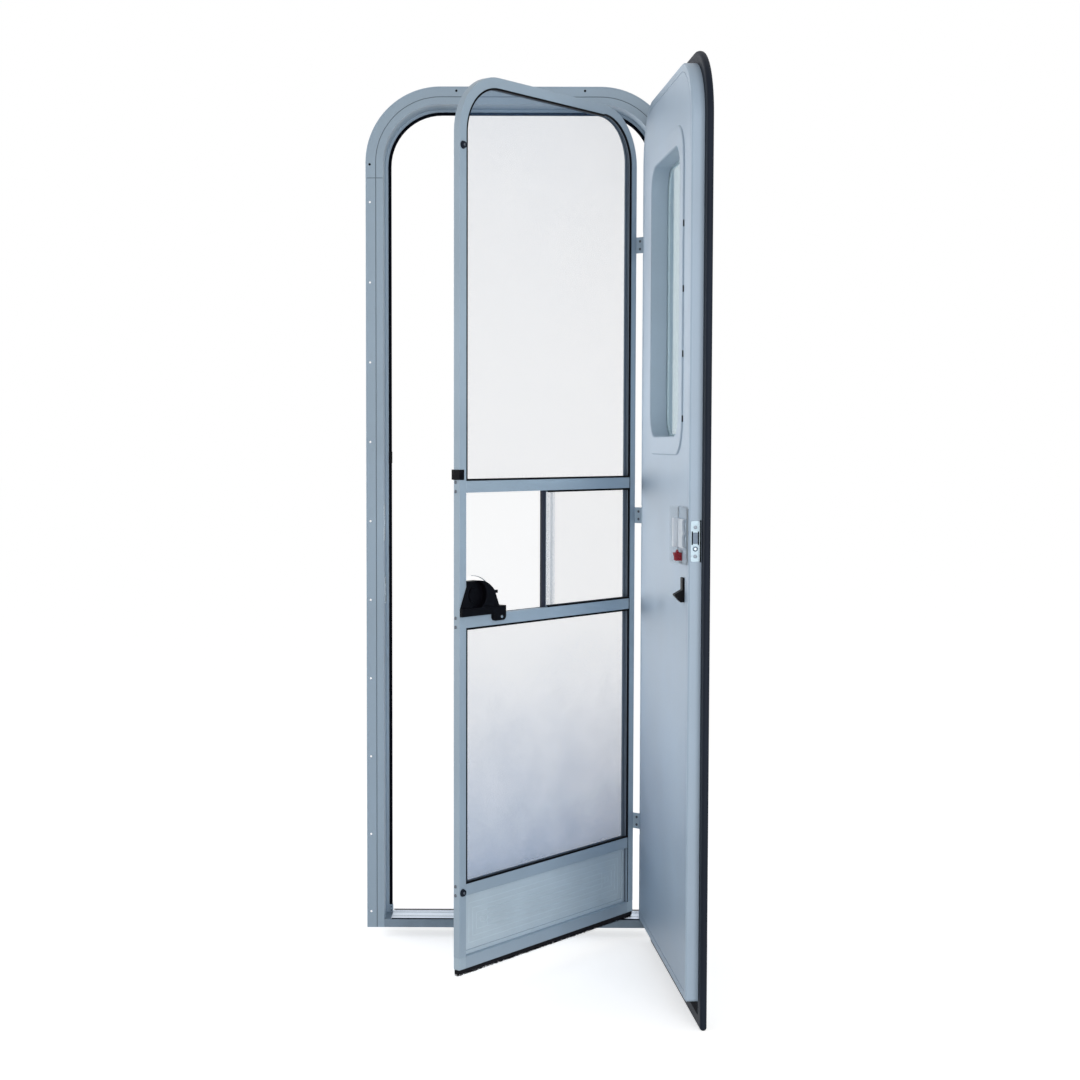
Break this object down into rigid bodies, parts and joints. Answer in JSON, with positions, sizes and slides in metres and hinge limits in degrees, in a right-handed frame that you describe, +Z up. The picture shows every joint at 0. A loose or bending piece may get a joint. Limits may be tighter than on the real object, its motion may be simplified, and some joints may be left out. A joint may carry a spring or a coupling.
{
  "type": "caravan entry door",
  "caption": "Arched caravan entry door in its frame: insulated main door with window, fly-screen door with sliding hatch, shared hinge pins, sill and seals.",
  "frame": {"origin": "middle of the frame's foot, on the back face of the sill's front lip, which is level with the back of the flange", "axes": "+X to the hinge side as seen from outside, +Y into the caravan, +Z up"},
  "size_m": [0.6668, 0.6594, 1.775],
  "materials": {
    "frame": "pale blue-grey powder coat on aluminium",
    "bright": "bright anodised, ribbed",
    "steel": "bright zinc-plated steel",
    "rubber": "black rubber seal",
    "black": "black moulded plastic",
    "grey_plastic": "grey moulded plastic",
    "mesh": "woven grey fly mesh",
    "clear": "clear acrylic",
    "window": "clear double acrylic pane",
    "door_inner": "pale grey moulded inner face",
    "door_outer": "pale grey painted skin",
    "pale": "pale grey moulded plastic",
    "red": "red moulded plastic"
  },
  "bodies": {
    "frame": {"frame_arch": "frame", "left_jamb": "frame", "right_jamb": "frame", "sill": "frame", "sill_tread": "bright", "frame_seal": "rubber", "hinge_leaves": "frame", "hinge_pins": "steel", "jamb_strikes": "steel", "seal_ends": "grey_plastic"},
    "screen_door": {"screen_bend": "frame", "screen_upper_rail": "frame", "screen_lower_rail": "frame", "screen_kick_rail": "frame", "screen_bottom_rail": "frame", "screen_corners": "grey_plastic", "upper_mesh": "mesh", "lower_mesh": "mesh", "hatch_mesh": "mesh", "mesh_splines": "rubber", "kick_panel": "frame", "hatch_post": "black", "hatch_tracks": "black", "screen_lock": "black", "screen_catch": "black", "screen_bumpers": "rubber", "brush_seal": "rubber", "screen_hinge_arms": "frame"},
    "hatch": {"hatch_panel": "clear", "hatch_pull": "clear"},
    "main_door": {"door_body": "door_inner", "door_skin": "door_outer", "door_rim": "rubber", "window_surround": "door_inner", "window_glass": "window", "window_frame": "grey_plastic", "lock_cover": "clear", "lock_case": "pale", "lock_knob": "red", "latch_plate": "steel", "latch_bolt": "steel", "door_hook": "black", "door_hinge_straps": "frame", "handle_bezel": "black", "handle_paddle": "black"}
  },
  "joints": [
    {"name": "screen_swing", "type": "hinge", "parent": "frame", "child": "screen_door", "pos_m": [0.2818, -0.0155, 0.883], "axis": [0, 0, 1], "range_deg": [-51.2, 33.8]},
    {"name": "door_swing", "type": "hinge", "parent": "screen_door", "child": "main_door", "pos_m": [0.2818, -0.0155, 0.883], "axis": [0, 0, 1], "range_deg": [-44.5, 40.5]},
    {"name": "hatch_slide", "type": "slide", "parent": "screen_door", "child": "hatch", "axis": [0.6266, 0.7793, 0], "range_m": [0, 0.235]}
  ]
}
